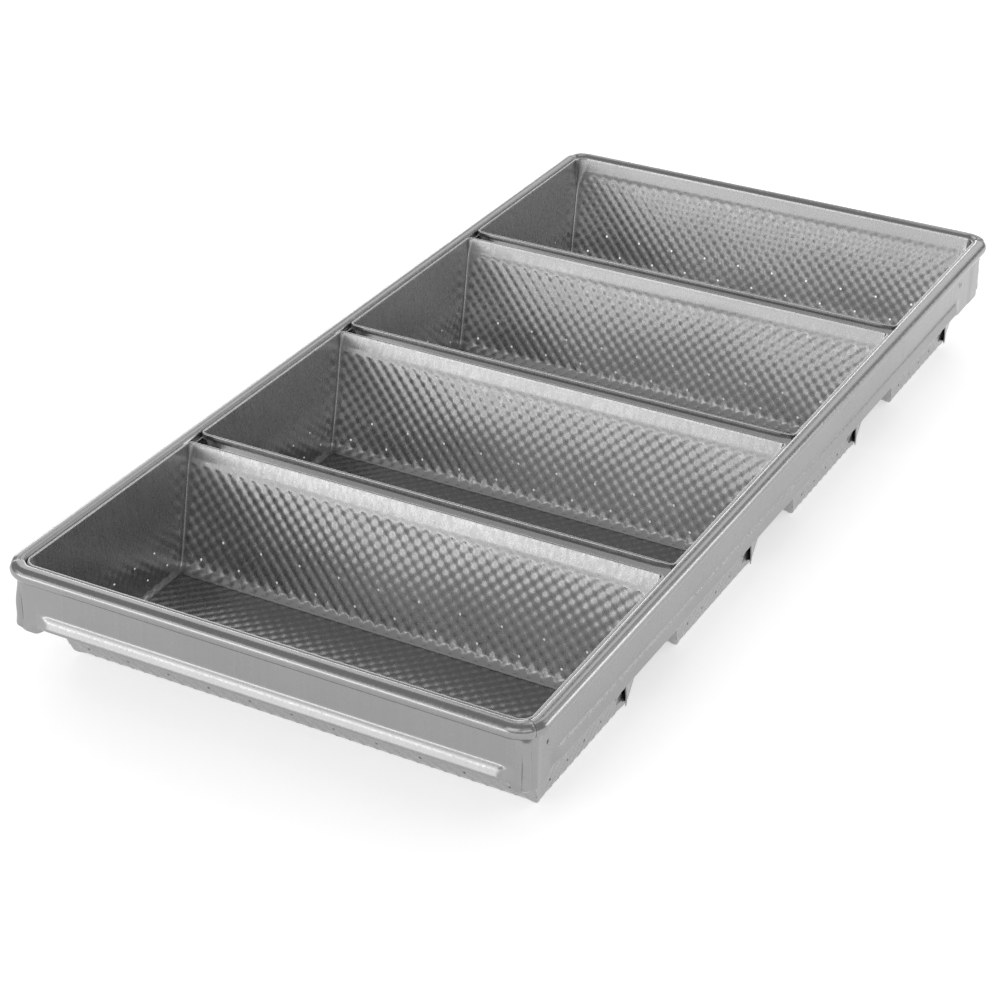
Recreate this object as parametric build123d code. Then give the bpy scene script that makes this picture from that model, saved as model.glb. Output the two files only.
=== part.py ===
from build123d import *
import math
import os

# ---------------------------------------------------------------------------
# Strapped loaf pan set: four folded sheet pans held in one strap frame.
# Frame of reference: +Z up, origin at the centre of the set on the plane that
# the pan bottoms rest on. X runs along the pans' length, Y across the four.
# ---------------------------------------------------------------------------

# pans
PAN_COUNT = 4
PAN_PITCH = 140.0          # spacing of the pans
PAN_LENGTH = 254.0         # along X, rim centre line to rim centre line (10 in)
PAN_WIDTH = 130.0          # along Y, rim centre line to rim centre line
PAN_HEIGHT = 59.3          # bottom to the top of the rim
SHEET = 0.6                # pan sheet thickness
HEM_HEIGHT = 3.0           # folded hem, two sheets thick
COLLAR_HEIGHT = 3.3        # upright part of the wall under the rim
END_FLARE = 6.14           # how far each end leans in from rim line to bottom
SIDE_FLARE = 22.2          # how far each long wall leans in
RIM_CORNER = 4.0           # plan radius of the rim corners between pans
FRAME_CORNER = 6.15        # plan radius of the rim corners at the frame's corners
BOTTOM_BEND = 3.0          # bend radius between walls and bottom, outside

# folded corner tabs on the end walls
TAB_EDGE_Y = 37.5          # distance of the tab's free edge from the pan's middle
TAB_GAP = 1.5              # how far the free edge stands off the end wall
TAB_Z0, TAB_Z1 = 3.0, 50.0

# pinholes
HOLE_D = 1.4
HOLE_PITCH_X = 21.88
HOLE_PITCH_Y = 16.2
HOLE_Z_LOW, HOLE_Z_HIGH = 7.7, 18.2

# strap frame
STRAP = 0.8                # strap sheet thickness
ROLL_R = 3.8               # outside radius of the rolled rim
ROLL_OFF = 4.45            # rim centre line to roll centre line
ROLL_Z = PAN_HEIGHT - 3.0  # height of the roll's centre line
ROLL_CORNER = 10.6         # plan radius of the roll's centre line at the corners
ROD_R = 2.95               # rod inside the roll
BAND_OFF = 4.3             # rim centre line to the band's outer face
BAND_CORNER = 7.6          # plan radius of the band's outer face at the corners
BAND_Z0 = PAN_HEIGHT - 29.3     # bottom of the band along the runs
CORNER_Z0 = PAN_HEIGHT - 33.3   # bottom of the band at the corners
BEAD_OUT = 2.0             # how far the bead stands proud of the band
BEAD_TOP = 10.2            # height of the bead's top above the band's bottom
FLANGE_IN = 2.3            # inner edge of the turned-in bottom flange
SEAM_ANGLE = 35.0          # where the corner seam lies, from the side run's straight
NEAR_LAP = 24.0            # length of the front strap's tabs behind the side straps
FAR_LAP = 45.0             # the same for the back strap
LAP = 0.05                 # play between lapped sheets

# spot welds and tack welds
SPOT_R = 2.3
NEAR_SPOT = (15.8, PAN_HEIGHT - 15.7)   # from the corner's outer face, height
FAR_SPOT = (37.8, PAN_HEIGHT - 14.1)
TACK_LEN = 12.0

HX = PAN_LENGTH / 2
HY = PAN_PITCH * (PAN_COUNT - 1) / 2 + PAN_WIDTH / 2
CENTRES = [(k - (PAN_COUNT - 1) / 2) * PAN_PITCH for k in range(PAN_COUNT)]


def rounded(hx, hy, r_near, r_far, z):
    """Rectangle with corner radius r_near on the -Y side and r_far on the +Y side."""
    n, f = r_near, r_far
    with BuildSketch(Plane.XY.offset(z)) as sk:
        with BuildLine():
            Line((-hx + n, -hy), (hx - n, -hy))
            CenterArc((hx - n, -hy + n), n, -90, 90)
            Line((hx, -hy + n), (hx, hy - f))
            CenterArc((hx - f, hy - f), f, 0, 90)
            Line((hx - f, hy), (-hx + f, hy))
            CenterArc((-hx + f, hy - f), f, 90, 90)
            Line((-hx, hy - f), (-hx, -hy + n))
            CenterArc((-hx + n, -hy + n), n, 180, 90)
        make_face()
    return sk.sketch


# --- one pan, centred on its own middle -----------------------------------
Z_BEND = PAN_HEIGHT - COLLAR_HEIGHT
hl, hw = PAN_LENGTH / 2, PAN_WIDTH / 2

def leaning_block(inset, z0, z1, r_near, r_far):
    """Block with flat leaning sides and rounded corners; each side lies inset inside the pan's outer face."""
    ix = inset / math.cos(math.atan(END_FLARE / Z_BEND))
    iy = inset / math.cos(math.atan(SIDE_FLARE / Z_BEND))

    def ring(z):
        hx = hl - END_FLARE + END_FLARE * z / Z_BEND - ix
        hy = hw - SIDE_FLARE + SIDE_FLARE * z / Z_BEND - iy
        arcs = []
        for sx, sy, start in ((1, -1, 270), (1, 1, 0), (-1, 1, 90), (-1, -1, 180)):
            r = (r_near if sy < 0 else r_far) - inset
            arcs.append(CenterArc((sx * (hx - r), sy * (hy - r), z), r, start, 90))
        return arcs

    low, high = ring(z0), ring(z1)
    faces, low_edges, high_edges = [], [], []
    for i in range(4):
        j = (i + 1) % 4
        faces.append(Face.extrude(low[i].edge(), high[i] @ 0 - low[i] @ 0))
        faces.append(Face(Wire.make_polygon([low[i] @ 1, low[j] @ 0, high[j] @ 0, high[i] @ 1], close=True)))
        low_edges += [low[i].edge(), Edge.make_line(low[i] @ 1, low[j] @ 0)]
        high_edges += [high[i].edge(), Edge.make_line(high[i] @ 1, high[j] @ 0)]
    faces += [Face(Wire(low_edges)), Face(Wire(high_edges))]
    block = Solid(Shell(faces))
    bottom = [e for e in block.edges() if e.center().Z < z0 + 0.01]
    return Part() + fillet(bottom, BOTTOM_BEND - inset)


def hem_block(grow, r_near, r_far):
    return extrude(rounded(hl + grow, hw + grow, r_near + grow, r_far + grow, PAN_HEIGHT - HEM_HEIGHT), HEM_HEIGHT)


# lapped corner tabs, attached at the corner and standing off at the free edge
def tab_section(z, sx, sy):
    xe = hl - END_FLARE + END_FLARE * z / Z_BEND
    ys = hw - SIDE_FLARE + SIDE_FLARE * z / Z_BEND
    pts = [(xe - 0.3, ys - 3.4), (xe + 0.75, ys - 3.4), (xe + TAB_GAP + SHEET, TAB_EDGE_Y),
           (xe + TAB_GAP, TAB_EDGE_Y), (xe - 0.3, ys - 4.6)]
    face = make_face(Polyline(*[(sx * x, sy * y) for x, y in pts], close=True))
    return Plane.XY.offset(z) * face


# pinholes through the long walls and the end walls
pins = []
for k in range(-5, 6):
    pins.append(Pos(k * HOLE_PITCH_X, 0, HOLE_Z_LOW) * Rot(90, 0, 0) * Cylinder(HOLE_D / 2, 2 * hw))
for k in range(10):
    pins.append(Pos((k - 4.5) * HOLE_PITCH_X, 0, HOLE_Z_HIGH) * Rot(90, 0, 0) * Cylinder(HOLE_D / 2, 2 * hw))
for k in range(-2, 3):
    pins.append(Pos(0, k * HOLE_PITCH_Y, HOLE_Z_LOW) * Rot(0, 90, 0) * Cylinder(HOLE_D / 2, 2 * hl))
for k in range(4):
    pins.append(Pos(0, (k - 1.5) * HOLE_PITCH_Y, HOLE_Z_HIGH) * Rot(0, 90, 0) * Cylinder(HOLE_D / 2, 2 * hl))


def make_pan(r_near, r_far):
    """Returns the pan and the space inside its outer skin, both centred on the pan's own middle."""
    outer = leaning_block(0, 0, Z_BEND, r_near, r_far)
    inner = leaning_block(SHEET, SHEET, Z_BEND + 1.0, r_near, r_far)
    collar = extrude(rounded(hl, hw, r_near, r_far, Z_BEND), COLLAR_HEIGHT)
    collar_in = extrude(rounded(hl - SHEET, hw - SHEET, r_near - SHEET, r_far - SHEET, Z_BEND), COLLAR_HEIGHT)
    body = (outer - inner) + (collar - collar_in) + (hem_block(SHEET, r_near, r_far) - hem_block(-SHEET, r_near, r_far))
    for sx in (-1, 1):
        for sy in (-1, 1):
            body += loft([tab_section(TAB_Z0 + 3.5, sx, sy), tab_section(TAB_Z1, sx, sy)], ruled=True)
    return body - pins, outer + collar + hem_block(SHEET, r_near, r_far)


# --- strap section, drawn as (offset outward, height) -----------------------
def wall_profile(points, t):
    """Closed polygon of a sheet whose outer face follows the points; the sheet lies to the left."""
    inner_pts = []
    n = len(points)
    for i in range(n):
        dirs = []
        if i > 0:
            dx, dz = points[i][0] - points[i - 1][0], points[i][1] - points[i - 1][1]
            dirs.append((dx / math.hypot(dx, dz), dz / math.hypot(dx, dz)))
        if i < n - 1:
            dx, dz = points[i + 1][0] - points[i][0], points[i + 1][1] - points[i][1]
            dirs.append((dx / math.hypot(dx, dz), dz / math.hypot(dx, dz)))
        nx = sum(-d[1] for d in dirs) / len(dirs)
        nz = sum(d[0] for d in dirs) / len(dirs)
        s = t / (nx * nx + nz * nz)
        inner_pts.append((points[i][0] + nx * s, points[i][1] + nz * s))
    return list(points) + inner_pts[::-1]

BO = BAND_OFF + BEAD_OUT
RUN = [(FLANGE_IN, BAND_Z0), (BO - 1.4, BAND_Z0), (BO - 0.3, BAND_Z0 + 0.9), (BO, BAND_Z0 + 2.2),
       (BO, BAND_Z0 + BEAD_TOP - 3.2), (BO - 0.5, BAND_Z0 + BEAD_TOP - 1.9),
       (BAND_OFF, BAND_Z0 + BEAD_TOP), (BAND_OFF, ROLL_Z - ROLL_R + 0.45)]
PLAIN = [(BAND_OFF, CORNER_Z0), (BAND_OFF, ROLL_Z - ROLL_R + 0.45)]


def run_solid(profile, a, b, side):
    """Extrude a section along a run. side: front, back, left or right."""
    face = make_face(Polyline(*profile, close=True))
    if side == "front":
        pl = Plane(origin=(a, -HY, 0), x_dir=(0, -1, 0), z_dir=(-1, 0, 0))
        return extrude(pl * face, -(b - a))
    if side == "back":
        pl = Plane(origin=(a, HY, 0), x_dir=(0, 1, 0), z_dir=(1, 0, 0))
        return extrude(pl * face, b - a)
    if side == "right":
        pl = Plane(origin=(HX, a, 0), x_dir=(1, 0, 0), z_dir=(0, -1, 0))
        return extrude(pl * face, -(b - a))
    pl = Plane(origin=(-HX, a, 0), x_dir=(-1, 0, 0), z_dir=(0, 1, 0))
    return extrude(pl * face, b - a)


def bead_cap(side, at):
    """Small plate that closes the end of the bead."""
    pts = [(BAND_OFF - STRAP, BAND_Z0), (BO - 1.4, BAND_Z0), (BO - 0.3, BAND_Z0 + 0.9), (BO, BAND_Z0 + 2.2),
           (BO, BAND_Z0 + BEAD_TOP - 3.2), (BO - 0.5, BAND_Z0 + BEAD_TOP - 1.9),
           (BAND_OFF, BAND_Z0 + BEAD_TOP), (BAND_OFF - STRAP, BAND_Z0 + BEAD_TOP)]
    return run_solid(pts, at - STRAP / 2, at + STRAP / 2, side)


def corner_place(sx, sy):
    return (sx * (HX + BAND_OFF - BAND_CORNER), sy * (HY + BAND_OFF - BAND_CORNER))


START = {(1, 1): 0, (-1, 1): 90, (-1, -1): 180, (1, -1): 270}


def corner_angles(sx, sy, a, b):
    """Plan angles of the part of a corner between a and b degrees from the side run's straight."""
    along = START[(sx, sy)]
    if sx * sy > 0:                       # the side run's end of the arc comes first
        return along + a, along + b
    return along + 90 - b, along + 90 - a


def ring_sector(cx, cy, r0, r1, a, b, z0, z1):
    ts = [math.radians(a + (b - a) * i / 12) for i in range(13)]
    with BuildSketch(Plane.XY.offset(z0)) as sk:
        with BuildLine():
            CenterArc((cx, cy), r1, a, b - a)
            CenterArc((cx, cy), r0, a, b - a)
            for t in (ts[0], ts[-1]):
                Line((cx + r0 * math.cos(t), cy + r0 * math.sin(t)), (cx + r1 * math.cos(t), cy + r1 * math.sin(t)))
        make_face()
    return extrude(sk.sketch, z1 - z0)


def band_corner(sx, sy, a, b, depth=0.0, z0=CORNER_Z0, t=STRAP):
    """Plain band round part of a corner; a and b are degrees from the side run's straight."""
    cx, cy = corner_place(sx, sy)
    lo, hi = corner_angles(sx, sy, a, b)
    r = BAND_CORNER - depth
    return ring_sector(cx, cy, r - t, r, lo, hi, z0, ROLL_Z - ROLL_R + 0.45)


def roll_corner(sx, sy, a, b, r_out, r_in):
    """Part of the quarter torus of the roll at one corner."""
    cx, cy = sx * (HX + ROLL_OFF - ROLL_CORNER), sy * (HY + ROLL_OFF - ROLL_CORNER)
    lo, hi = corner_angles(sx, sy, a, b)
    disc = Plane.XZ * (Pos(ROLL_CORNER, ROLL_Z) * (Circle(r_out) if r_in <= 0 else Circle(r_out) - Circle(r_in)))
    return Pos(cx, cy, 0) * Rot(0, 0, lo) * revolve(disc, Axis.Z, hi - lo)


def roll_run(side, a, b, r_out, r_in):
    disc = Circle(r_out) if r_in <= 0 else Circle(r_out) - Circle(r_in)
    if side in ("front", "back"):
        y = (-1 if side == "front" else 1) * (HY + ROLL_OFF)
        pl = Plane(origin=(a, y, ROLL_Z), x_dir=(0, 1, 0), z_dir=(1, 0, 0))
    else:
        x = (-1 if side == "left" else 1) * (HX + ROLL_OFF)
        pl = Plane(origin=(x, a, ROLL_Z), x_dir=(1, 0, 0), z_dir=(0, 1, 0))
    return extrude(pl * disc, b - a)


RX = HX + ROLL_OFF - ROLL_CORNER      # straight part of the roll, half length along X
RY = HY + ROLL_OFF - ROLL_CORNER
BX = HX + BAND_OFF - BAND_CORNER      # straight part of the band
BY = HY + BAND_OFF - BAND_CORNER
FACE_Y = HY + BAND_OFF
LAP_Y = {-1: FACE_Y - NEAR_LAP, 1: FACE_Y - FAR_LAP}       # where the tabs end
BEAD_X = HX - 6.5                                          # where the front and back beads end
BEAD_Y = {-1: FACE_Y - 20.2, 1: FACE_Y - 39.5}             # where the side beads end
SPOT = {-1: NEAR_SPOT, 1: FAR_SPOT}
R_IN = ROLL_R - STRAP
TUCK = STRAP + LAP                                         # how far the tabs sit behind the side straps
TUCK_Z0 = BAND_Z0 + 1.2


def spot(sx, sy):
    y = sy * (FACE_Y - SPOT[sy][0])
    x0, x1 = HX + BAND_OFF - 2 * STRAP - LAP, HX + BAND_OFF
    return Pos(sx * (x0 + x1) / 2, y, SPOT[sy][1]) * Rot(0, 90, 0) * Cylinder(SPOT_R, x1 - x0)


def end_strap(side):
    """Front or back strap: run with bead, corners as far as the seams, tabs behind the side straps."""
    sy = -1 if side == "front" else 1
    z1 = ROLL_Z - ROLL_R + 0.45
    body = run_solid(wall_profile(RUN, STRAP), -BEAD_X, BEAD_X, side)
    for s in (-1, 1):
        body += bead_cap(side, s * BEAD_X)
        lo, hi = sorted((s * (BEAD_X - 0.2), s * BX))
        body += run_solid(wall_profile(PLAIN, STRAP), lo, hi, side)
        body += band_corner(s, sy, SEAM_ANGLE, 90)
        # step in behind the side strap, then the tab itself
        body += band_corner(s, sy, SEAM_ANGLE + 3, SEAM_ANGLE + 15, STRAP - 0.1, TUCK_Z0, 0.25)
        body += band_corner(s, sy, 0, SEAM_ANGLE + 15, TUCK, TUCK_Z0)
        lo, hi = sorted((sy * LAP_Y[sy], sy * BY))
        tab = [(BAND_OFF - TUCK, TUCK_Z0), (BAND_OFF - TUCK, z1 - 0.75)]
        body += run_solid(wall_profile(tab, STRAP), lo, hi, "right" if s > 0 else "left")
    body += roll_run(side, -RX, RX, ROLL_R, R_IN)
    for s in (-1, 1):
        body += roll_corner(s, sy, SEAM_ANGLE, 90, ROLL_R, R_IN)
        # the tab stays clear of the side strap's roll
        body -= roll_corner(s, sy, 0, SEAM_ANGLE + 1, ROLL_R + LAP, 0)
        body -= spot(s, sy)
    return body


def side_strap(side):
    """Left or right strap: run with bead, plain ends that reach round the corners to the seams."""
    sx = 1 if side == "right" else -1
    body = run_solid(wall_profile(RUN, STRAP), -BEAD_Y[-1], BEAD_Y[1], side)
    body += roll_run(side, -RY, RY, ROLL_R, R_IN)
    for s in (-1, 1):
        body += bead_cap(side, s * (BEAD_Y[s] - STRAP / 2))
        lo, hi = sorted((s * (BEAD_Y[s] - 0.2), s * BY))
        body += run_solid(wall_profile(PLAIN, STRAP), lo, hi, side)
        body += band_corner(sx, s, 0, SEAM_ANGLE - 2)
        body += roll_corner(sx, s, 0, SEAM_ANGLE - 1.5, ROLL_R, R_IN)
        # clear of the end strap's roll
        body -= roll_corner(sx, s, SEAM_ANGLE - 0.5, SEAM_ANGLE + 30, ROLL_R + LAP, 0)
        body -= spot(sx, s)
    return body


front_strap = end_strap("front")
back_strap = end_strap("back")
left_strap = side_strap("left")
right_strap = side_strap("right")

# --- rod inside the rolled rim, one closed bent ring -----------------------
rod = roll_run("front", -RX, RX, ROD_R, 0) + roll_run("back", -RX, RX, ROD_R, 0)
rod += roll_run("left", -RY, RY, ROD_R, 0)
rod += roll_run("right", -RY, RY, ROD_R, 0)
for sx in (-1, 1):
    for sy in (-1, 1):
        rod += roll_corner(sx, sy, 0, 90, ROD_R, 0)

# --- welds --------------------------------------------------------------
spots = [spot(sx, sy) for sx in (-1, 1) for sy in (-1, 1)]


def tack(side, along):
    """Short fillet of weld in the corner under the hem, between pan wall and roll."""
    zc = ROLL_Z - 1.9
    sect = [(-1.6, zc - 1.2), (1.6, zc - 1.2), (1.6, zc + 0.9), (-1.6, zc + 0.9)]
    lo, hi = along - TACK_LEN / 2, along + TACK_LEN / 2
    return run_solid(sect, lo, hi, side)


ends = [FRAME_CORNER] + [RIM_CORNER] * (2 * PAN_COUNT - 2) + [FRAME_CORNER]
made = [make_pan(ends[2 * k], ends[2 * k + 1]) for k in range(PAN_COUNT)]
pans = [Pos(0, y, 0) * m[0] for y, m in zip(CENTRES, made)]
skins = [Pos(0, y, 0) * m[1] for y, m in zip(CENTRES, made)]
tacks = {"left": [], "right": [], "front": [], "back": []}
for y in CENTRES:
    for dy in (-38.0, 38.0):
        tacks["left"].append(tack("left", y + dy))
        tacks["right"].append(tack("right", y + dy))
for x in (-90.0, -30.0, 30.0, 90.0):
    tacks["front"].append(tack("front", x))
    tacks["back"].append(tack("back", x))

rolls = {s: roll_run(s, -(RX if s in ("front", "back") else RY - 2.0), (RX if s in ("front", "back") else RY - 2.0), ROLL_R, 0)
         for s in tacks}
for side, items in tacks.items():
    done = []
    for t in items:
        for y, skin in zip(CENTRES, skins):
            b = t.bounding_box()
            if b.min.Y > y + hw + 5 or b.max.Y < y - hw - 5:
                continue
            t = t - skin
        t = t - rolls[side]
        best = max(t.solids(), key=lambda s: s.volume)
        done.append(best)
    tacks[side] = done

# --- write every piece ------------------------------------------------------
os.makedirs("parts", exist_ok=True)
nodes = {f"pan_{k + 1}": p for k, p in enumerate(pans)}
nodes.update(front_strap=front_strap, back_strap=back_strap, left_strap=left_strap, right_strap=right_strap,
             rim_rod=rod, corner_spot_welds=Compound(children=spots))
for side, items in tacks.items():
    nodes[f"{side}_tack_welds"] = Compound(children=items)
for name, shape in nodes.items():
    export_step(shape, f"parts/{name}.step")
    print(name, "volume", round(shape.volume, 1), "solids", len(shape.solids()))
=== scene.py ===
import math

import bpy
import numpy as np
from mathutils import Matrix, Vector


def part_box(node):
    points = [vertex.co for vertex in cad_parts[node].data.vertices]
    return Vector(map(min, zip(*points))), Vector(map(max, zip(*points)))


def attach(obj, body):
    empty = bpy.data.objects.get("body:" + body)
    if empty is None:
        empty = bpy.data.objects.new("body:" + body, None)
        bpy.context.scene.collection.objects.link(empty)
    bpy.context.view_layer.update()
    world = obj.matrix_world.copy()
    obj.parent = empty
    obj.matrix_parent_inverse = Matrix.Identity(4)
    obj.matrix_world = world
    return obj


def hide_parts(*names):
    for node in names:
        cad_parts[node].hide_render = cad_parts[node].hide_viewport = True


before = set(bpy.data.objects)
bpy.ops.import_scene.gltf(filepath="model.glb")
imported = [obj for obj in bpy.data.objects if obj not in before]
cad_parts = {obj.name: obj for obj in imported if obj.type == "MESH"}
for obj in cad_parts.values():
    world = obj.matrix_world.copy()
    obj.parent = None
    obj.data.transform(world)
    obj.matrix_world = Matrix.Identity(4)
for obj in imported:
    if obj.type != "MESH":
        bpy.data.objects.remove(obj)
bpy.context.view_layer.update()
SC = bpy.context.scene
MM = 0.001
rng = np.random.default_rng(20260117)

# ------------------------------------------------------------------ sizes (mm), read from the frame where possible
PAN_BOX = [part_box(f"pan_{k}") for k in (1, 2, 3, 4)]
RIM_TOP = PAN_BOX[0][1].z / MM                      # top of the pan rims
CENTRES = [(lo.y + hi.y) / 2 / MM for lo, hi in PAN_BOX]
SHEET = 0.6
HL, HW = 127.0, 65.0                                # rim centre line, half sizes of a pan
Z_BEND = RIM_TOP - 3.3                              # foot of the upright collar
END_FLARE, SIDE_FLARE = 6.14, 22.2
HX, HY = 127.0, 275.0                               # rim centre line, half sizes of the whole set
ROLL_O, ROLL_Z, ROLL_R = 4.45, RIM_TOP - 3.0, 3.8
STRAP_T = 0.8
BAND_Z0 = RIM_TOP - 29.3
CORNER_Z0 = RIM_TOP - 33.3


def link(name, verts, faces, mat, smooth=True, sharp_deg=None):
    me = bpy.data.meshes.new(name)
    me.from_pydata((np.asarray(verts, float) * MM).tolist(), [], [list(map(int, f)) for f in faces])
    me.validate(verbose=False)
    me.update()
    ob = bpy.data.objects.new(name, me)
    SC.collection.objects.link(ob)
    me.materials.append(mat)
    if smooth:
        me.polygons.foreach_set("use_smooth", np.ones(len(me.polygons), bool))
    if sharp_deg is not None:
        me.set_sharp_from_angle(angle=math.radians(sharp_deg))
    return ob


# ------------------------------------------------------------------ materials
class Nodes:
    def __init__(self, name):
        self.mat = bpy.data.materials.new(name)
        self.mat.use_nodes = True
        self.t = self.mat.node_tree
        self.t.nodes.clear()
        self.out = self.t.nodes.new("ShaderNodeOutputMaterial")
        self.bsdf = self.t.nodes.new("ShaderNodeBsdfPrincipled")
        self.t.links.new(self.bsdf.outputs[0], self.out.inputs[0])

    def n(self, kind, **kw):
        node = self.t.nodes.new(kind)
        for k, v in kw.items():
            if k in node.inputs:
                node.inputs[k].default_value = v
            else:
                setattr(node, k, v)
        return node

    def l(self, a, b):
        self.t.links.new(a, b)

    def coords(self, scale, rot=(0, 0, 0)):
        tc = self.n("ShaderNodeTexCoord")
        m = self.n("ShaderNodeMapping")
        m.inputs["Scale"].default_value = scale
        m.inputs["Rotation"].default_value = rot
        self.l(tc.outputs["Object"], m.inputs["Vector"])
        return m.outputs["Vector"]

    def noise(self, vec, scale=5.0, detail=3.0, rough=0.5):
        k = self.n("ShaderNodeTexNoise", Scale=scale, Detail=detail, Roughness=rough)
        self.l(vec, k.inputs["Vector"])
        return k.outputs["Fac"]

    def ramp(self, fac, stops):
        r = self.n("ShaderNodeValToRGB")
        e = r.color_ramp.elements
        e[0].position, e[0].color = stops[0][0], (*([stops[0][1]] * 3), 1) if not isinstance(stops[0][1], tuple) else (*stops[0][1], 1)
        e[1].position, e[1].color = stops[-1][0], (*([stops[-1][1]] * 3), 1) if not isinstance(stops[-1][1], tuple) else (*stops[-1][1], 1)
        for p, c in stops[1:-1]:
            k = e.new(p)
            k.color = (*([c] * 3), 1) if not isinstance(c, tuple) else (*c, 1)
        self.l(fac, r.inputs[0])
        return r.outputs[0]

    def range(self, fac, a, b, lo=0.0, hi=1.0):
        r = self.n("ShaderNodeMapRange")
        r.inputs["From Min"].default_value = lo
        r.inputs["From Max"].default_value = hi
        r.inputs["To Min"].default_value = a
        r.inputs["To Max"].default_value = b
        self.l(fac, r.inputs["Value"])
        return r.outputs["Result"]

    def math(self, op, a, b=None):
        m = self.n("ShaderNodeMath", operation=op)
        for i, v in enumerate((a, b)):
            if v is None:
                continue
            if isinstance(v, (int, float)):
                m.inputs[i].default_value = v
            else:
                self.l(v, m.inputs[i])
        return m.outputs[0]


def sheet_metal(name, base, rough, grain_scale, grain_bump=0.012, mottled=0.06):
    """Aluminium-coated steel sheet: rolled grain, faint cloudiness and spangle, satin gloss."""
    k = Nodes(name)
    grain = k.noise(k.coords(grain_scale), 1.0, 2.0, 0.55)
    cloud = k.noise(k.coords((22, 22, 22)), 1.0, 4.0, 0.6)
    fine = k.noise(k.coords((900, 900, 900)), 1.0, 2.0, 0.5)
    tone = k.math("ADD", k.math("MULTIPLY", cloud, 0.6), k.math("MULTIPLY", grain, 0.4))
    lo, hi = 1 - mottled, 1 + mottled
    col = k.ramp(tone, [(0.30, tuple(c * lo for c in base)), (0.5, base), (0.72, tuple(min(1, c * hi) for c in base))])
    k.l(col, k.bsdf.inputs["Base Color"])
    r = k.math("ADD", k.math("MULTIPLY", grain, 0.6), k.math("MULTIPLY", fine, 0.4))
    k.l(k.range(r, rough - 0.07, rough + 0.09, 0.3, 0.7), k.bsdf.inputs["Roughness"])
    k.bsdf.inputs["Metallic"].default_value = 1.0
    b = k.n("ShaderNodeBump")
    b.inputs["Strength"].default_value = grain_bump * 10
    b.inputs["Distance"].default_value = 0.00002
    k.l(k.math("ADD", grain, k.math("MULTIPLY", fine, 0.15)), b.inputs["Height"])
    k.l(b.outputs[0], k.bsdf.inputs["Normal"])
    return k.mat


PAN_BASE = (0.385, 0.385, 0.388)
MAT_PAN = sheet_metal("pan_sheet", PAN_BASE, 0.27, (500, 500, 30))
MAT_STRAP = sheet_metal("strap_sheet", (0.315, 0.315, 0.318), 0.22, (700, 700, 24))
MAT_ROD = sheet_metal("rod_steel", (0.40, 0.40, 0.41), 0.3, (60, 60, 60))
MAT_WELD = sheet_metal("weld_steel", (0.33, 0.325, 0.32), 0.32, (400, 400, 400), mottled=0.25, grain_bump=0.06)

# ------------------------------------------------------------------ one pan
PITCH = 6.83                                        # emboss repeat along and across the sheet
STEP = PITCH / 6
TEX_TOP_Z = Z_BEND - 4.4 * math.cos(math.atan(SIDE_FLARE / Z_BEND))
END_TEX_Z = 30.0
R_SIDE, R_END = 5.5, 2.75                           # inside bend radii, bottom to long wall and to end wall


Z_LEAN = RIM_TOP - 0.62                             # the walls lean all the way up to the hem


class Profile:
    """Inside line of a wall: flat bottom, bend, leaning wall up to the hem, by height."""

    def __init__(self, half, flare, radius):
        self.lean = math.atan(flare / Z_LEAN)
        self.turn = math.pi / 2 - self.lean
        self.R = radius
        self.k = flare / Z_LEAN
        self.w0 = half - flare - SHEET / math.cos(self.lean)      # wall line at z = 0
        corner = self.w0 + self.k * SHEET
        self.flat = corner - radius * math.tan(self.turn / 2)      # where the flat bottom ends
        self.arc = radius * self.turn
        self.zt = SHEET + radius * (1 - math.cos(self.turn))       # top of the bend
        self.half = half - SHEET

    def at_s(self, s):
        """(offset, z, turn angle) at a distance s up from the end of the flat."""
        if s <= self.arc:
            a = s / self.R
            return self.flat + self.R * math.sin(a), SHEET + self.R * (1 - math.cos(a)), a
        d = s - self.arc
        z = self.zt + d * math.cos(self.lean)
        return self.w0 + self.k * z, z, self.turn

    def at_z(self, z):
        if z <= self.zt:
            a = math.acos(max(-1, min(1, 1 - (z - SHEET) / self.R)))
            return self.flat + self.R * math.sin(a), z, a
        if z >= Z_LEAN:
            return self.half, z, math.pi / 2
        return self.w0 + self.k * z, z, self.turn


SIDE, END = Profile(HW, SIDE_FLARE, R_SIDE), Profile(HL, END_FLARE, R_END)


def smooth(x, a, b):
    t = np.clip((x - a) / (b - a), 0, 1)
    return t * t * (3 - 2 * t)


def emboss(u, v):
    a = np.abs(np.sin(np.pi * ((u + v) / PITCH + 0.5)))
    b = np.abs(np.sin(np.pi * ((u - v) / PITCH + 0.5)))
    return 0.5 * (a ** 0.6 + b ** 0.6)


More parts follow.
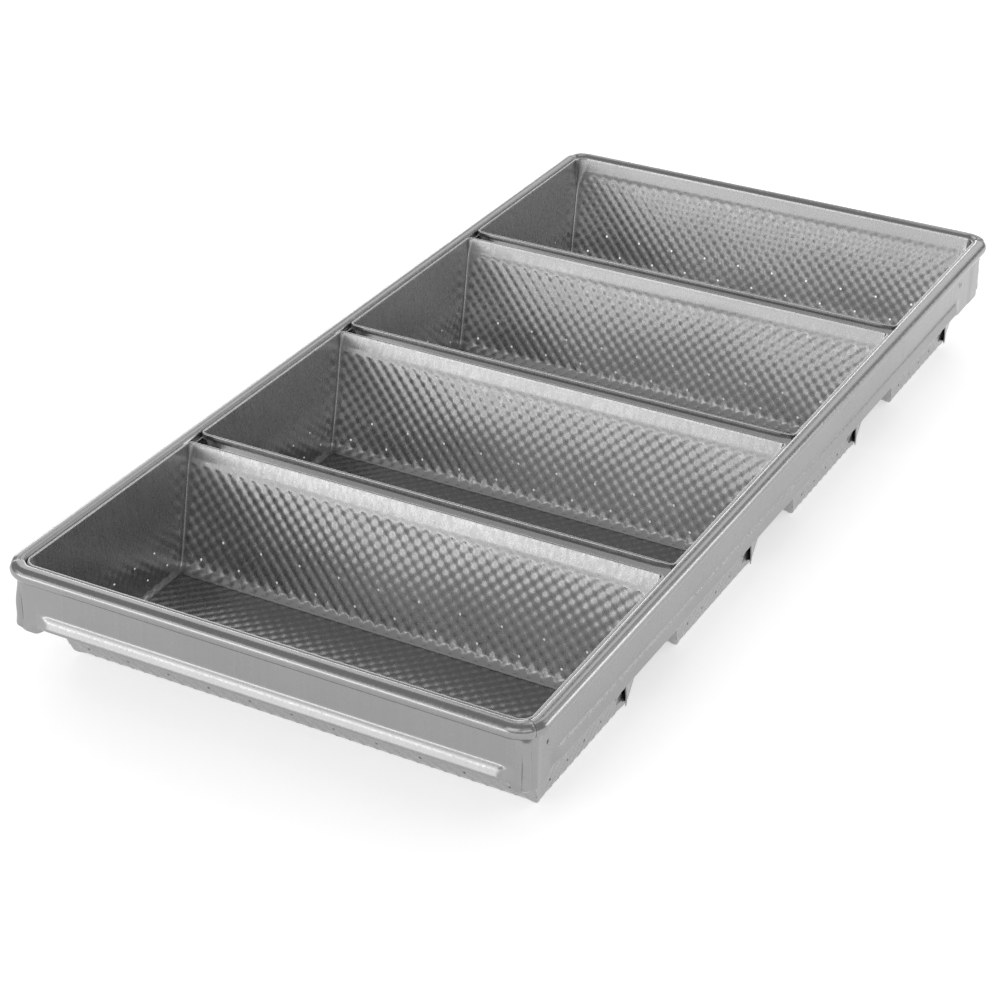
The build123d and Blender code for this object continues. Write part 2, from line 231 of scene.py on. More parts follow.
def build_pan(name, cy, r_near, r_far, phase_u, phase_v, amp, seed):
    lrng = np.random.default_rng(seed)
    xs = phase_u + STEP * np.arange(-125, 126)
    ys = phase_v + STEP * np.arange(-75, 76)
    xs, ys = xs[np.abs(xs) < HL - 1], ys[np.abs(ys) < HW - 1]
    nA, nB, nC = len(xs), len(ys), 7

    # heights of the loops above the flat bottom: rows of the blank that lie on the emboss grid
    rows = []                                       # (z, blank row number or None)
    m = int(math.ceil((SIDE.flat + 0.35 - phase_v) / STEP))
    base_row = m
    while True:
        v = phase_v + STEP * m
        off, z, a = SIDE.at_s(v - SIDE.flat)
        if z > Z_BEND - 0.4:
            break
        rows.append((z, v))
        m += 1
    v_top = rows[-1][1]
    rows.append((Z_BEND, None))
    rows += [(Z_BEND + 0.9, None), (Z_BEND + 1.8, None), (RIM_TOP - 0.62, None)]
    levels = [(SHEET, SIDE.flat)] + rows

    def corner_r(z, rim):
        r = 0.8 * smooth(z, SHEET, 3.0)
        return r + (rim - SHEET - 0.8) * smooth(z, 50.0 if rim < 5 else 40.0, Z_BEND + 1.5)

    def loop(z, v, grow=0.0):
        """One ring of points at height z: far long side, right end, near long side, left end."""
        yo, _, ya = SIDE.at_z(z)
        xo, _, xa = END.at_z(z)
        P, N, UV, KEY = [], [], [], []
        rf, rn = corner_r(z, r_far), corner_r(z, r_near)

        def corner(sx, sy, r, start):
            cx, cyy = sx * (xo - r), sy * (yo - r)
            for i in range(nC):
                t = start + math.pi / 2 * i / (nC - 1)
                c, s = math.cos(t), math.sin(t)
                w = abs(s)
                ang = xa * (1 - w) + ya * w
                P.append((cx + (r + grow) * c, cyy + (r + grow) * s, z))
                N.append((-c * math.sin(ang), -s * math.sin(ang), math.cos(ang)))
                UV.append((0, 0, 0))
                KEY.append(None)

        lim = {1: (xo - rf, yo - rf), -1: (xo - rn, yo - rn)}
        # right end, going up in y
        corner(1, -1, rn, -math.pi / 2)
        for j in range(nB):
            y = ys[j]
            P.append((xo + grow, y, z)); N.append((-math.sin(xa), 0, math.cos(xa)))
            UV.append((y, 1, 1)); KEY.append("low" if y < -lim[-1][1] + 0.3 * STEP else ("high" if y > lim[1][1] - 0.3 * STEP else None))
        corner(1, 1, rf, 0)
        for i in range(nA - 1, -1, -1):
            x = xs[i]
            P.append((x, yo + grow, z)); N.append((0, -math.sin(ya), math.cos(ya)))
            UV.append((x, 2, 1)); KEY.append("low" if x > lim[1][0] - 0.3 * STEP else ("high" if x < -lim[1][0] + 0.3 * STEP else None))
        corner(-1, 1, rf, math.pi / 2)
        for j in range(nB - 1, -1, -1):
            y = ys[j]
            P.append((-xo - grow, y, z)); N.append((math.sin(xa), 0, math.cos(xa)))
            UV.append((y, 3, 1)); KEY.append("low" if y > lim[1][1] - 0.3 * STEP else ("high" if y < -lim[-1][1] + 0.3 * STEP else None))
        corner(-1, -1, rn, math.pi)
        for i in range(nA):
            x = xs[i]
            P.append((x, -yo - grow, z)); N.append((0, math.sin(ya), math.cos(ya)))
            UV.append((x, 4, 1)); KEY.append("low" if x < -lim[-1][0] + 0.3 * STEP else ("high" if x > lim[-1][0] - 0.3 * STEP else None))
        return np.array(P, float), np.array(N, float), UV, KEY

    ring = 2 * nA + 2 * nB + 4 * nC
    starts = {"B+": nC, "A+": 2 * nC + nB, "B-": 3 * nC + nB + nA, "A-": 4 * nC + 2 * nB + nA}
    seg_len = {"B+": nB, "A+": nA, "B-": nB, "A-": nA}

    verts, norms, alias = [], [], []

    def add_loop(P, N, KEY):
        base = len(verts)
        idx = list(range(base, base + ring))
        for s, st in starts.items():
            n = seg_len[s]
            for i in range(st, st + n):
                if KEY[i] == "low":
                    idx[i] = base + st - 1
                elif KEY[i] == "high":
                    idx[i] = base + (st + n) % ring
        verts.extend(P); norms.extend(N)
        alias.extend(idx)
        return base

    # inner surface loops, lowest first; displaced by the emboss
    inner_levels = []
    for n, (z, v) in enumerate(levels):
        P, N, UV, KEY = loop(z, v)
        h = np.zeros(ring)
        if v is not None and n > 0:
            zt = z
            q = v - SIDE.flat
            bend = 1.0 + 0.7 * math.exp(-((q - 4.5) / 4.0) ** 2)
            mask_side = (1 - smooth(zt, TEX_TOP_Z - 1.6, TEX_TOP_Z)) * bend
            mask_end = 1 - smooth(zt, END_TEX_Z - 13.0, END_TEX_Z + 2.0)
            for s in ("A+", "A-"):
                st = starts[s]
                us = P[st:st + nA, 0]
                xo = END.at_z(z)[0]
                edge = smooth(xo - np.abs(us), 1.6, 3.4)
                sign = 1 if s == "A+" else -1
                h[st:st + nA] = amp * emboss(us - phase_u, sign * v - phase_v) * mask_side * edge
            k = (v - phase_v) / STEP - base_row
            u0 = phase_u + STEP * math.ceil((END.flat - phase_u) / STEP)
            for s in ("B+", "B-"):
                st = starts[s]
                vs = P[st:st + nB, 1]
                yo = SIDE.at_z(z)[0]
                edge = smooth(yo - np.abs(vs), 1.6, 3.4)
                u = u0 + STEP * (k + 1)
                sign = 1 if s == "B+" else -1
                h[st:st + nB] = amp * emboss(sign * u - phase_u, vs - phase_v) * mask_end * edge
        inner_levels.append((P, N, KEY, h))

    # hand-made sheet is never quite flat: gentle dents and waves in the long walls and the floor
    def waves(P, N):
        x, y, z = P[:, 0], P[:, 1], P[:, 2]
        calm = 1 - 0.8 * smooth(np.abs(N[:, 0]), 0.2, 0.7)
        w = 0.30 * np.sin(x * 0.038 + wp[0]) * np.sin(z * 0.08 + wp[1]) + 0.10 * np.sin(x * 0.09 + wp[2]) * np.sin(z * 0.12 + wp[3])
        return w * calm * smooth(z, 1, 8) * (1 - smooth(z, 44, 55))

    wp = lrng.uniform(0, 6.28, 6)
    bases = []
    for P, N, KEY, h in inner_levels:
        bases.append(add_loop(P + N * (h + waves(P, N))[:, None], N, KEY))
    n_in = len(bases)
    top = inner_levels[-1]
    # rolled-over hem: half round on top, outer leaf, cut edge
    hem = [(0.6 - 0.6 * math.cos(t), RIM_TOP - 0.6 + 0.6 * math.sin(t)) for t in np.radians([25, 45, 65, 90, 115, 135, 155])]
    hem += [(1.2, RIM_TOP - 0.7), (1.2, RIM_TOP - 1.6), (1.2, RIM_TOP - 2.85), (1.12, RIM_TOP - 3.0), (0.25, RIM_TOP - 3.02)]
    lap = {4: (0.15, 0.0), 5: (0.30, 0.04), 6: (0.40, 0.06), 7: (0.40, 0.04), 8: (0.10, 0.0)}
    hem_bases = []
    for e, z in hem:
        P, N, UV, KEY = loop(RIM_TOP - 0.62, None, grow=e)
        P = P.copy(); P[:, 2] = z
        # the hem is pressed thinner where the frame bears on it: at the right ends and at the far side of the last pan
        P[:, 0] -= 0.05 * e * smooth(P[:, 0], HL - 3.0, HL - 0.7)
        push, lift = lap.get(len(hem_bases), (0.0, 0.0))
        on_x = smooth(P[:, 0], HL - 3.0, HL - 0.7)
        on_y = smooth(-P[:, 1], HW - 3.0, HW - 0.7) * (1.0 if r_near > 5 else 0.0)
        P[:, 0] += push * on_x
        P[:, 1] -= 1.5 * push * on_y
        P[:, 2] += lift * np.maximum(on_x, on_y)
        splay = 0.6 * max(0.0, min(1.0, (RIM_TOP - 0.62 - z) / 2.2)) * (1 if e > 0.5 else 0)
        if r_far < 5:
            P[:, 1] += splay * smooth(P[:, 1], HW - 4.0, HW - 0.7) * (1 - smooth(np.abs(P[:, 0]), HL - 9, HL - 3))
        if r_near < 5:
            P[:, 1] -= splay * smooth(-P[:, 1], HW - 4.0, HW - 0.7) * (1 - smooth(np.abs(P[:, 0]), HL - 9, HL - 3))
        if r_far > 5:
            P[:, 1] -= 0.40 * e * smooth(P[:, 1], HW - 3.0, HW - 0.7)
        hem_bases.append(add_loop(P, N, KEY))
    # outer surface loops, highest first
    out_bases = []
    for P, N, KEY, h in inner_levels[::-1]:
        if P[0, 2] > Z_BEND + 0.01:
            continue
        Nn = N.copy()
        t = SHEET
        out_bases.append(add_loop(P + N * (h * 0.85 + waves(P, N))[:, None] - Nn * t, N, KEY))
    alias = np.array(alias)
    verts = np.array(verts)
    faces, loops_chain = [], bases + hem_bases + out_bases
    i0 = np.arange(ring)
    i1 = (i0 + 1) % ring
    quad_of = {}
    for a, b in zip(loops_chain[:-1], loops_chain[1:]):
        q = np.stack([alias[a + i0], alias[b + i0], alias[b + i1], alias[a + i1]], 1)
        faces.append(q)
    faces = np.concatenate(faces)

    # flat bottoms, inside and outside
    def flat(base, up, h_scale, z_off):
        nonlocal verts, faces
        grid = -np.ones((nA, nB), int)
        P0 = verts[base:base + ring]
        inx = np.where(np.abs(xs) < END.flat - 0.3 * STEP)[0]
        iny = np.where(np.abs(ys) < SIDE.flat - 0.3 * STEP)[0]
        X, Y = np.meshgrid(xs[inx], ys[iny], indexing="ij")
        H = amp * h_scale * emboss(X - phase_u, Y - phase_v)
        H = H * smooth(END.flat - np.abs(X), 0.0, 1.0) * smooth(SIDE.flat - np.abs(Y), 0.0, 0.8)
        H = H * (1.0 + 0.45 * np.exp(-((SIDE.flat - np.abs(Y)) / 5.0) ** 2))
        sag = 0.12 * np.sin(X * 0.03 + wp[4]) * np.sin(Y * 0.06 + wp[5]) * smooth(END.flat - np.abs(X), 0, 12) * smooth(SIDE.flat - np.abs(Y), 0, 12)
        Z = SHEET + z_off + H + np.maximum(sag, -0.02 if z_off < 0 else -1)
        start = len(verts)
        verts = np.concatenate([verts, np.stack([X.ravel(), Y.ravel(), Z.ravel()], 1)])
        G = np.empty((len(inx) + 2, len(iny) + 2), int)
        G[1:-1, 1:-1] = start + np.arange(len(inx) * len(iny)).reshape(len(inx), len(iny))
        for a, i in enumerate(inx):
            G[a + 1, -1] = alias[base + starts["A+"] + (nA - 1 - i)]
            G[a + 1, 0] = alias[base + starts["A-"] + i]
        for b, j in enumerate(iny):
            G[-1, b + 1] = alias[base + starts["B+"] + j]
            G[0, b + 1] = alias[base + starts["B-"] + (nB - 1 - j)]
        G[-1, 0], G[-1, -1], G[0, -1], G[0, 0] = base, base + nC + nB, base + 2 * nC + nB + nA, base + 3 * nC + 2 * nB + nA
        q = np.stack([G[:-1, :-1], G[1:, :-1], G[1:, 1:], G[:-1, 1:]], -1).reshape(-1, 4)
        if not up:
            q = q[:, ::-1]
        faces = np.concatenate([faces, q])

    # corner points of the lowest loops collapse to one point each
    for base in (bases[0], out_bases[-1]):
        for st in (0, nC + nB, 2 * nC + nB + nA, 3 * nC + 2 * nB + nA):
            mean = verts[base + st:base + st + nC].mean(0)
            verts[base + st:base + st + nC] = mean
            old = np.arange(base + st, base + st + nC)
            faces[np.isin(faces, old)] = base + st
            sel = np.isin(alias, old)
            alias[sel] = base + st
    flat(bases[0], True, 1.0, 0.0)
    flat(out_bases[-1], False, 0.85, -SHEET)
    verts_z = verts[:, 2]

    # pinholes: open a ring of eight points through both skins
    kill = set()
    extra = []

    def hole(sign_axis, s, pos, z_hole):
        """sign_axis 'A' long wall or 'B' end wall, s = +1 or -1, pos along the wall."""
        zs = np.array([L[0][0, 2] for L in inner_levels])
        lv = int(np.argmin(np.abs(zs - z_hole)))
        coord = xs if sign_axis == "A" else ys
        c = int(np.argmin(np.abs(coord - pos)))
        key = sign_axis + ("+" if s > 0 else "-")
        n = seg_len[key]
        rev = key in ("A+", "B-")
        order = [(-1, -1), (0, -1), (1, -1), (1, 0), (1, 1), (0, 1), (-1, 1), (-1, 0)]
        prof = SIDE if sign_axis == "A" else END
        off, _, ang = prof.at_z(z_hole)
        lean = math.pi / 2 - ang
        if sign_axis == "A":
            e1, e2 = np.array([1.0, 0, 0]), np.array([0, s * math.sin(lean), math.cos(lean)])
            nn = np.array([0, -s * math.sin(ang), math.cos(ang)])
            mid = np.array([pos, s * off, z_hole])
        else:
            e1, e2 = np.array([0, 1.0, 0]), np.array([s * math.sin(lean), 0, math.cos(lean)])
            nn = np.array([-s * math.sin(ang), 0, math.cos(ang)])
            mid = np.array([s * off, pos, z_hole])
        rings = []
        for skin, chain in enumerate((bases, out_bases[::-1])):
            ids = []
            for dc, dl in [(0, 0)] + order:
                k = c + dc
                col = starts[key] + ((n - 1 - k) if rev else k)
                ids.append(alias[chain[lv + dl] + col])
            centre = ids[0]
            depth = float(np.mean([(verts[v] - mid) @ nn for v in ids]))
            ids = ids[1:]
            for vid, (dc, dl) in zip(ids, order):
                t = math.atan2(dl, dc)
                own = float((verts[vid] - mid) @ nn)
                verts[vid] = mid + 0.68 * (math.cos(t) * e1 + math.sin(t) * e2) + nn * (0.6 * depth + 0.4 * own)
            kill.add(int(centre))
            rings.append(ids)
        flip = (key in ("A+", "B-"))
        for i in range(8):
            j = (i + 1) % 8
            q = [rings[0][i], rings[0][j], rings[1][j], rings[1][i]]
            extra.append(q)

    for s in (1, -1):
        for k in range(-5, 6):
            hole("A", s, -0.4 + 21.87 * k, 7.6)
        for k in range(10):
            hole("A", s, -99.0 + 21.87 * k, 18.0)
        for k in range(-2, 3):
            hole("B", s, 16.2 * k, 7.8)
        for k in range(4):
            hole("B", s, 16.2 * (k - 1.5), 18.3)
    faces = faces[~np.isin(faces, list(kill)).any(1)]
    out = []
    for f in faces.tolist() + extra:
        g = []
        for v in f:
            if v not in g:
                g.append(v)
        if len(g) >= 3:
            out.append(g)
    # folded corner tabs: the long wall's sheet wrapped round each corner, its free edge standing off the end wall
    tabs_v, tabs_f = [], []
    for sx in (1, -1):
        for sy in (1, -1):
            nz, ny = 30, 12
            zz = np.linspace(3.7 if sy > 0 else 6.0, 49.5, nz)
            base_t = sum(len(t) for t in tabs_v)
            for leaf in (0, 1):
                pts = []
                for i, z in enumerate(zz):
                    xo = END.w0 + END.k * z + SHEET / math.cos(END.lean)
                    yo = SIDE.at_z(z)[0] + 0.30
                    spring = (1.0 - float(smooth(np.array(z), 5.0, 17.5))) * (1.0 if sy > 0 else 0.0)
                    y_free = 37.5 + 0.45 * math.sin(z * 0.21 + 1.1 * sx * sy) + 0.5 * float(smooth(np.array(z), 30, 49))
                    for j in range(ny):
                        t = j / (ny - 1)
                        y = yo + (y_free - yo) * t
                        stand = -0.45 + ((0.62 if sy > 0 else 0.25) + 1.3 * spring) * float(smooth(np.array(t), 0.1, 1.0)) ** 1.5 + 0.03 * math.sin(z * 0.3 + 5 * t + sx + 2 * sy)
                        o = stand + (0.6 if leaf == 0 else 0.0)
                        pts.append((sx * (xo + o), sy * y, z))
                tabs_v.append(np.array(pts))
            A = base_t + np.arange(nz * ny).reshape(nz, ny)
            B = A + nz * ny
            for G in (A, B):
                tabs_f += np.stack([G[:-1, :-1], G[1:, :-1], G[1:, 1:], G[:-1, 1:]], -1).reshape(-1, 4).tolist()
            rim = [A[0, j] for j in range(ny)] + [A[i, -1] for i in range(1, nz)] + [A[-1, j] for j in range(ny - 2, -1, -1)] + [A[i, 0] for i in range(nz - 2, 0, -1)]
            d = nz * ny
            for a, b in zip(rim, rim[1:] + rim[:1]):
                tabs_f.append([a, b, b + d, a + d])
    tv = np.concatenate(tabs_v)
    off = len(verts)
    verts = np.concatenate([verts, tv])
    out += [[int(i) + off for i in f] for f in tabs_f]
    # renumber
    used = np.unique(np.concatenate([np.array(f) for f in out]))
    new = -np.ones(len(verts), int)
    new[used] = np.arange(len(used))
    verts = verts[used]
    verts = verts + np.array([0, cy, 0])
    out = [[int(new[v]) for v in f] for f in out]
    return verts, out


def finish_mesh(ob):
    """Consistent outward normals."""
    import bmesh
    bm = bmesh.new()
    bm.from_mesh(ob.data)
    bmesh.ops.recalc_face_normals(bm, faces=bm.faces)
    bad = [e for e in bm.edges if len(e.link_faces) != 2]
    bm.to_mesh(ob.data)
    bm.free()
    return len(bad)


PANS = []
for k, cy in enumerate(CENTRES):
    v, f = build_pan(f"pan_{k + 1}", cy, 6.15 if k == 0 else 2.6, 6.15 if k == 3 else 2.6,
                     (-115.2 + 17 * PITCH) + [0, 1.1, -0.9, 0.6][k], 0.4, 0.56, 100 + k)
    ob = link(f"loaf_pan_{k + 1}", v, f, MAT_PAN, sharp_deg=70)
    print(ob.name, "open edges", finish_mesh(ob), "faces", len(ob.data.polygons))
    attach(ob, "root")
    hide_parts(f"pan_{k + 1}")
    PANS.append(ob)


# ------------------------------------------------------------------ strap frame
FRAME_SHIFT = 0.45                                  # the frame bears on the right ends of the pans and stands off the left ones
C_ROLL, C_BAND = 6.15, 3.3                          # inset of the corner centres from the rim centre line


def resample(pts, n):
    pts = np.array(pts, float)
    d = np.r_[0, np.cumsum(np.linalg.norm(np.diff(pts, axis=0), axis=1))]
    t = np.linspace(0, d[-1], n)
    return np.stack([np.interp(t, d, pts[:, i]) for i in range(pts.shape[1])], 1)


def round_poly(pts, r, n=5):
    """Polyline with its corners rounded."""
    pts = [np.array(p, float) for p in pts]
    out = [pts[0]]
    for a, b, c in zip(pts[:-2], pts[1:-1], pts[2:]):
        u, w = (a - b) / np.linalg.norm(a - b), (c - b) / np.linalg.norm(c - b)
        d = min(r, 0.45 * np.linalg.norm(a - b), 0.45 * np.linalg.norm(c - b))
        p, q = b + u * d, b + w * d
        for i in range(n + 1):
            t = i / n
            out.append((1 - t) ** 2 * p + 2 * t * (1 - t) * b + t * t * q)
    out.append(pts[-1])
    return np.array(out)


H_T = STRAP_T / 2
B_MID = 4.3 - H_T
Z_SPLIT = BAND_Z0 + 11.6
LOW_BEAD = resample(round_poly([(2.3, BAND_Z0 + H_T), (5.9, BAND_Z0 + H_T + 0.1), (6.5, BAND_Z0 + 1.4), (5.1, BAND_Z0 + 5.4), (B_MID, BAND_Z0 + 7.35), (B_MID, Z_SPLIT)], 1.1), 40)
LOW_PLAIN = resample([(B_MID, CORNER_Z0), (B_MID, Z_SPLIT)], 40)
n_circ = 44
ang0, ang1 = math.radians(-84), math.radians(247)
circ = [(ROLL_O + (ROLL_R - H_T) * math.cos(t), ROLL_Z + (ROLL_R - H_T) * math.sin(t)) for t in np.linspace(ang0, ang1, n_circ)]
UP = np.array([(B_MID, z) for z in np.linspace(Z_SPLIT + 1.2, ROLL_Z - ROLL_R - 0.2, 7)] + [(B_MID + 0.12, ROLL_Z - ROLL_R + 0.22), (B_MID + 0.42, ROLL_Z - ROLL_R + 0.40)] + circ)
N_LOW = len(LOW_BEAD)
# the near and right rolls are squarer at the inside, lying against the hems
UP_LAPPED = UP.copy()
for i, t in enumerate(np.linspace(ang0, ang1, n_circ)):
    if math.pi / 2 < t < math.pi:
        UP_LAPPED[len(UP) - n_circ + i] = (ROLL_O - (ROLL_R - H_T) * abs(math.cos(t)) ** 0.5, ROLL_Z + (ROLL_R - H_T) * math.sin(t) ** 0.75)


def section(bead, lapped):
    low = LOW_PLAIN * (1 - bead) + LOW_BEAD * bead
    return np.concatenate([low, UP_LAPPED if lapped else UP])


def path_point(side, t, c, o):
    """Plan point at outward offset o. side front/back/left/right with t the place along it; corners by name and angle."""
    if side == "front":
        return (t, -(HY + o))
    if side == "back":
        return (t, HY + o)
    if side == "right":
        return (HX + o, t)
    if side == "left":
        return (-(HX + o), t)
    sx, sy = side
    return (sx * (HX - c + (c + o) * math.cos(t)), sy * (HY - c + (c + o) * math.sin(t)))


def corner_c(z):
    return C_BAND + (C_ROLL - C_BAND) * float(smooth(z, ROLL_Z - ROLL_R - 2.0, ROLL_Z - ROLL_R + 0.6))


def sweep_strap(name, stations, mat):
    """stations: list of (side, t, bead, dz_bottom, do) where straight t is the coordinate along the run."""
    rings = []
    for side, t, bead, dbot, do in stations:
        mid = section(bead, name.startswith(("front", "right"))).copy()
        extra = do if isinstance(do, dict) else {"do": do}
        kroll = extra.get("roll", 1.0)
        if kroll != 1.0:
            w = smooth(mid[:, 1], ROLL_Z - ROLL_R - 0.4, ROLL_Z - ROLL_R + 1.2) * (np.arange(len(mid)) >= N_LOW)
            mid[:, 0] = mid[:, 0] + w * (kroll - 1) * (mid[:, 0] - ROLL_O)
            mid[:, 1] = mid[:, 1] + w * (kroll - 1) * (mid[:, 1] - ROLL_Z)
        tan = np.gradient(mid, axis=0)
        tan /= np.linalg.norm(tan, axis=1)[:, None]
        nrm = np.stack([tan[:, 1], -tan[:, 0]], 1)          # to the outside of the sheet
        outer, inner = mid + nrm * H_T, mid - nrm * H_T
        # rounded cut edges
        e0 = mid[0] - tan[0] * 0.25
        e1 = mid[-1] + tan[-1] * 0.25
        outline = np.concatenate([outer, [e1 + nrm[-1] * 0.2, e1 - nrm[-1] * 0.2], inner[::-1], [e0 - nrm[0] * 0.2, e0 + nrm[0] * 0.2]])
        P = []
        for o, z in outline:
            c = corner_c(z)
            low = float(1 - smooth(z, CORNER_Z0, Z_SPLIT))
            band = float(1 - smooth(z, ROLL_Z - ROLL_R - 1.5, ROLL_Z - ROLL_R + 1))
            oo = o + extra.get("do", 0.0) * band
            oo += extra.get("ridge", 0.0) * float(smooth(z, CORNER_Z0 - 0.2, CORNER_Z0 + 2.2) * (1 - smooth(z, ROLL_Z - ROLL_R - 14.0, ROLL_Z - ROLL_R - 0.6)))
            oo += extra.get("foot", 0.0) * math.exp(-((z - CORNER_Z0 - 3.2) / 2.4) ** 2)
            zz = z + dbot * low
            if isinstance(side, tuple):
                x, y = path_point(side, t, c, oo)
            else:
                run = HX if side in ("front", "back") else HY
                tt = t * (run - c) / (run - C_ROLL)
                x, y = path_point(side, tt, c, oo)
            P.append((x, y, zz))
        rings.append(P)
    R = np.array(rings)
    R[:, :, 0] -= FRAME_SHIFT
    m, n = R.shape[:2]
    idx = np.arange(m * n).reshape(m, n)
    a, b = idx[:-1], idx[1:]
    q = np.stack([a, np.roll(a, -1, 1), np.roll(b, -1, 1), b], -1).reshape(-1, 4).tolist()
    # end faces: strips across the sheet's thickness
    K = (n - 4) // 2
    for row in (0, m - 1):
        ids = idx[row]
        for i in range(K - 1):
            q.append([ids[i], ids[i + 1], ids[K + 2 + (K - 2 - i)], ids[K + 2 + (K - 1 - i)]])
        q.append([ids[K - 1], ids[K], ids[K + 1], ids[K + 2]])
        q.append([ids[0], ids[2 * K + 2 - 0 - 1], ids[2 * K + 2], ids[2 * K + 3]])
    return R.reshape(-1, 3), q


def bead_amount(x, lo, hi, length=9.0):
    return float(smooth(x, lo - 0.5, lo + length) * (1 - smooth(x, hi - length, hi + 0.5)))


SEAM = math.radians(35)


def wave(t, p, amp=0.10):
    return amp * (math.sin(t * 0.031 + p) + 0.5 * math.sin(t * 0.083 + 1.7 * p))


def strap_stations(kind):
    st = []
    if kind in ("front", "back"):
        sy = -1 if kind == "front" else 1

        def corner_extra(a):
            """Upright rounded ridge just before the seam, with a swollen foot; the roll ends in a rounded lip."""
            d = (a - SEAM) * 7.6
            ridge = 1.8 * math.sqrt(max(0.0, 1 - ((d - 2.0) / 2.0) ** 2))
            rd = (a - SEAM) * 12.0
            roll = 0.93 + 0.12 * float(smooth(np.array(rd), 0.0, 1.6)) - 0.05 * float(smooth(np.array(rd), 3.0, 8.0))
            return {"ridge": ridge, "foot": 0.55 * math.exp(-((d - 3.0) / 3.0) ** 2), "roll": roll}

        for a in np.linspace(SEAM + 0.012, math.pi / 2, 29)[:-1]:
            st.append(((-1, sy), float(a), 0.0, 0.0, corner_extra(float(a))))
        half = HX - C_ROLL
        lo, hi = (-117.3, 122.0) if kind == "front" else (-119.5, 119.5)
        for x in sorted(set(np.round(np.concatenate([np.linspace(-half, half, 100), np.linspace(lo - 1, lo + 10, 17), np.linspace(hi - 10, hi + 1, 17)]), 3))):
            if abs(x) <= half:
                near = min(abs(x - lo + 1.5), abs(x - hi - 1.5))
                st.append((kind, float(x), bead_amount(x, lo, hi), 0.0,
                           {"do": wave(x, 1.0 if sy < 0 else 2.2, 0.06), "foot": 0.55 * math.exp(-(near / 2.2) ** 2)}))
        for a in np.linspace(math.pi / 2, SEAM + 0.012, 29)[1:]:
            st.append(((1, sy), float(a), 0.0, 0.0, corner_extra(float(a))))
        return st
    sx = 1 if kind == "right" else -1
    half = HY - C_ROLL
    lo, hi = -259.1, 239.8
    def side_extra(a):
        rd = (SEAM - a) * 12.0
        return {"roll": 0.92 + 0.08 * float(smooth(np.array(rd), 0.3, 4.0)), "do": -0.25 * (1 - float(smooth(np.array(rd), 0.0, 5.0)))}

    for a in np.linspace(SEAM - 0.012, 0, 12)[:-1]:
        st.append(((sx, -1), float(a), 0.0, 0.0, side_extra(float(a))))
    for y in sorted(set(np.round(np.concatenate([np.linspace(-half, half, 200), np.linspace(lo - 1, lo + 10, 17), np.linspace(hi - 10, hi + 1, 17)]), 3))):
        joggle = 0.4 * float(smooth(np.array(y), 256.6, 258.6))
        st.append((kind, float(y), bead_amount(y, lo, hi), 0.0, wave(y, 0.4 * sx, 0.08) + joggle))
    for a in np.linspace(0, SEAM - 0.012, 12)[1:]:
        e = side_extra(float(a))
        e["do"] += 0.4
        st.append(((sx, 1), float(a), 0.0, 0.0, e))
    return st


for kind in ("front", "back", "left", "right"):
    v, f = sweep_strap(f"{kind}_strap_sheet", strap_stations(kind), MAT_STRAP)
    ob = link(f"{kind}_strap_sheet", v, f, MAT_STRAP, sharp_deg=60)
    print(ob.name, "open edges", finish_mesh(ob), "faces", len(ob.data.polygons))
    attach(ob, "root")
    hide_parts(f"{kind}_strap")

# spot welds of the corner laps: a small pit near the front, a dimpled ring near the back
def weld_marks():
    V, F = [], []
    zn, zf = RIM_TOP - 15.7, RIM_TOP - 14.1
    for sx in (1, -1):
        for y, z, prof in ((-263.5, zn, [(1.15, -0.05), (1.0, 0.16), (0.75, 0.16), (0.5, -0.12), (0.0, -0.2)]),
                           (241.5, zf, [(2.2, -0.05), (2.0, 0.18), (1.65, 0.34), (1.25, 0.26), (0.95, 0.05), (0.0, 0.02)])):
            x0 = HX + 4.3 + 0.05
            b = len(V)
            n = 28
            for r, h in prof[:-1]:
                for i in range(n):
                    t = 2 * math.pi * i / n
                    V.append((sx * (x0 + h) - FRAME_SHIFT, y + r * math.cos(t), z + r * math.sin(t)))
            V.append((sx * (x0 + prof[-1][1]) - FRAME_SHIFT, y, z))
            V.append((sx * (x0 - 0.3) - FRAME_SHIFT, y, z))
            m = len(prof) - 1
            for k in range(m - 1):
                for i in range(n):
                    j = (i + 1) % n
                    F.append([b + k * n + i, b + k * n + j, b + (k + 1) * n + j, b + (k + 1) * n + i])
            for i in range(n):
                j = (i + 1) % n
                F.append([b + (m - 1) * n + i, b + (m - 1) * n + j, b + m * n])
                F.append([b + j, b + i, b + m * n + 1])
    return V, F


V, F = weld_marks()
ob = link("corner_weld_marks", V, F, MAT_WELD, sharp_deg=60)
print(ob.name, "open edges", finish_mesh(ob))
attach(ob, "root")
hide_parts("corner_spot_welds")

for n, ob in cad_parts.items():
    m = MAT_ROD if n == "rim_rod" else (MAT_WELD if "weld" in n else MAT_PAN)
    ob.data.materials.clear()
    ob.data.materials.append(m)

# ------------------------------------------------------------------ floor, light, camera
k = Nodes("studio_floor")
fl = k.noise(k.coords((3, 3, 3)), 1.0, 3.0, 0.5)
k.l(k.ramp(fl, [(0.3, 0.86), (0.7, 0.90)]), k.bsdf.inputs["Base Color"])
k.bsdf.inputs["Roughness"].default_value = 0.9
k.bsdf.inputs["Specular IOR Level"].default_value = 0.1
k.bsdf.inputs["Emission Color"].default_value = (1, 1, 1, 1)
k.bsdf.inputs["Emission Strength"].default_value = 0.50
me = bpy.data.meshes.new("studio_floor")
S = 12.0
me.from_pydata([(-S, -S, -0.0004), (S, -S, -0.0004), (S, S, -0.0004), (-S, S, -0.0004)], [], [(0, 1, 2, 3)])
floor = bpy.data.objects.new("studio_floor", me)
SC.collection.objects.link(floor)
me.materials.append(k.mat)


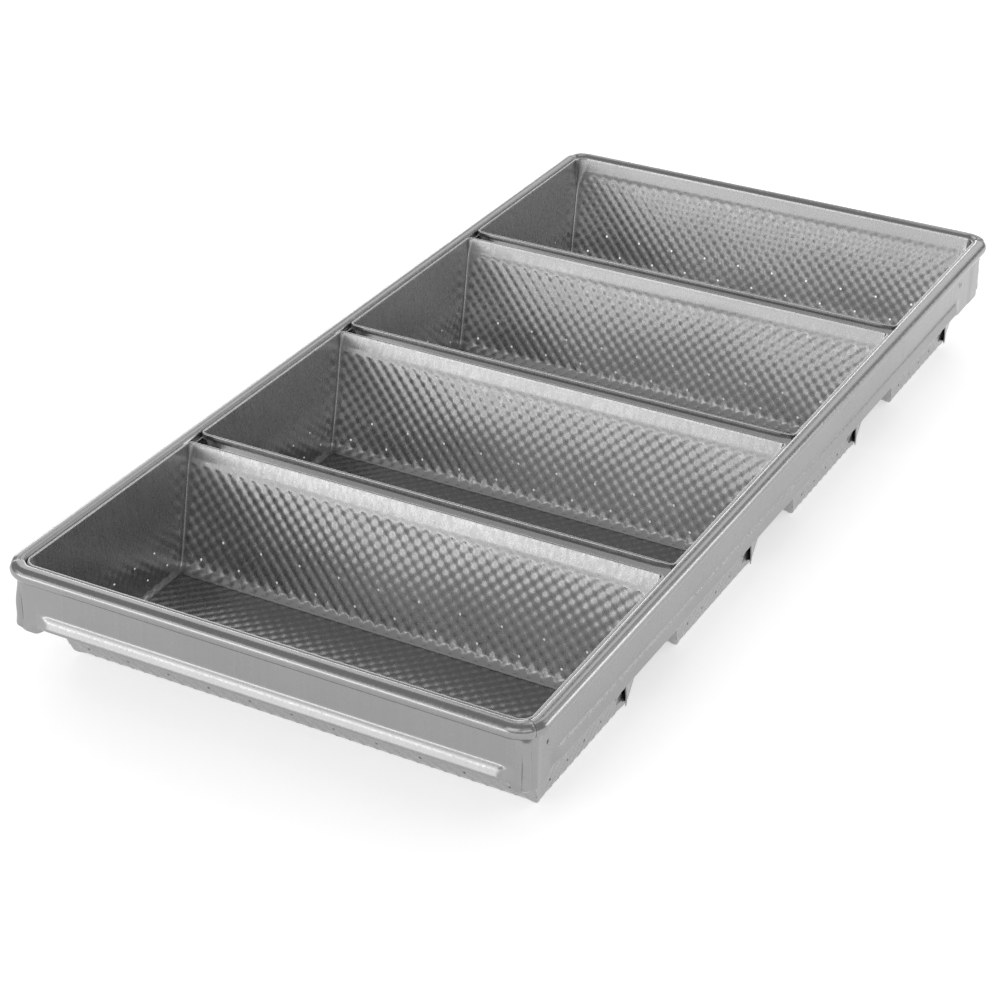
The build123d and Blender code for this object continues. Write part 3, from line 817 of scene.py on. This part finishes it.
def softbox(name, azimuth, elevation, radiance, side=1.15, height=None, dist=2.4):
    """Soft light aimed at the set; azimuth in degrees from +Y towards -X."""
    height = height or side
    e, a = math.radians(elevation), math.radians(azimuth)
    loc = Vector((-dist * math.cos(e) * math.sin(a), dist * math.cos(e) * math.cos(a), dist * math.sin(e) + 0.05))
    ld = bpy.data.lights.new(name, "AREA")
    ld.shape = "RECTANGLE"
    ld.size, ld.size_y = side, height
    ld.energy = radiance * math.pi * side * height
    ob = bpy.data.objects.new(name, ld)
    SC.collection.objects.link(ob)
    ob.location = loc
    ob.rotation_euler = (-loc).to_track_quat("-Z", "Y").to_euler()
    return ob


for n, az, el, rad, w, h in [("back_left_low", 42, 8, 3.0, 2.1, 0.55), ("back_left_strip", 45, 22, 0.9, 1.7, 0.35), ("back_left", 45, 38, 0.95, 1.15, 1.0),
                             ("back_strip", 0, 22, 1.1, 1.7, 0.35), ("back", 0, 38, 0.85, 1.15, 1.0), ("back_top", 0, 62, 0.7, 1.15, 1.15),
                             ("back_right_low", 306, 12, 2.6, 1.5, 0.75), ("back_right", 315, 38, 0.6, 1.15, 1.0),
                             ("front_left_horizon", 151, 2.0, 2.9, 2.3, 0.22), ("front_left_low", 146, 9, 1.7, 1.9, 0.55), ("front_left_strip", 135, 24, 1.35, 1.7, 0.35),
                             ("front_strip", 180, 22, 1.2, 1.7, 0.35), ("front", 180, 38, 1.2, 1.15, 1.0),
                             ("front_right_strip", 225, 22, 1.5, 1.7, 0.35), ("front_right", 225, 38, 0.4, 1.15, 1.0)]:
    softbox("soft_" + n, az, el, rad, w, h)

world = bpy.data.worlds.new("studio")
SC.world = world
world.use_nodes = True
bg = world.node_tree.nodes["Background"]
bg.inputs[0].default_value = (1, 1, 1, 1)
bg.inputs[1].default_value = 0.44
SC.view_settings.view_transform = "Standard"

cam_data = bpy.data.cameras.new("camera")
cam_data.sensor_width = 36.0
cam_data.lens = 2495.97 / 1000 * 36.0
cam_data.clip_end = 50
cam = bpy.data.objects.new("camera", cam_data)
SC.collection.objects.link(cam)
ROT = ((0.8801254438653257, -0.2436206191414344, 0.4074655776749839),
       (0.47464051107993066, 0.4338780692757289, -0.765810816222485),
       (0.009776927055387491, 0.8674092545798153, 0.4974993434836308))
cam.matrix_world = Matrix.Translation((0.505708, -1.012929, 0.637991)) @ Matrix(ROT).to_4x4()
SC.camera = cam
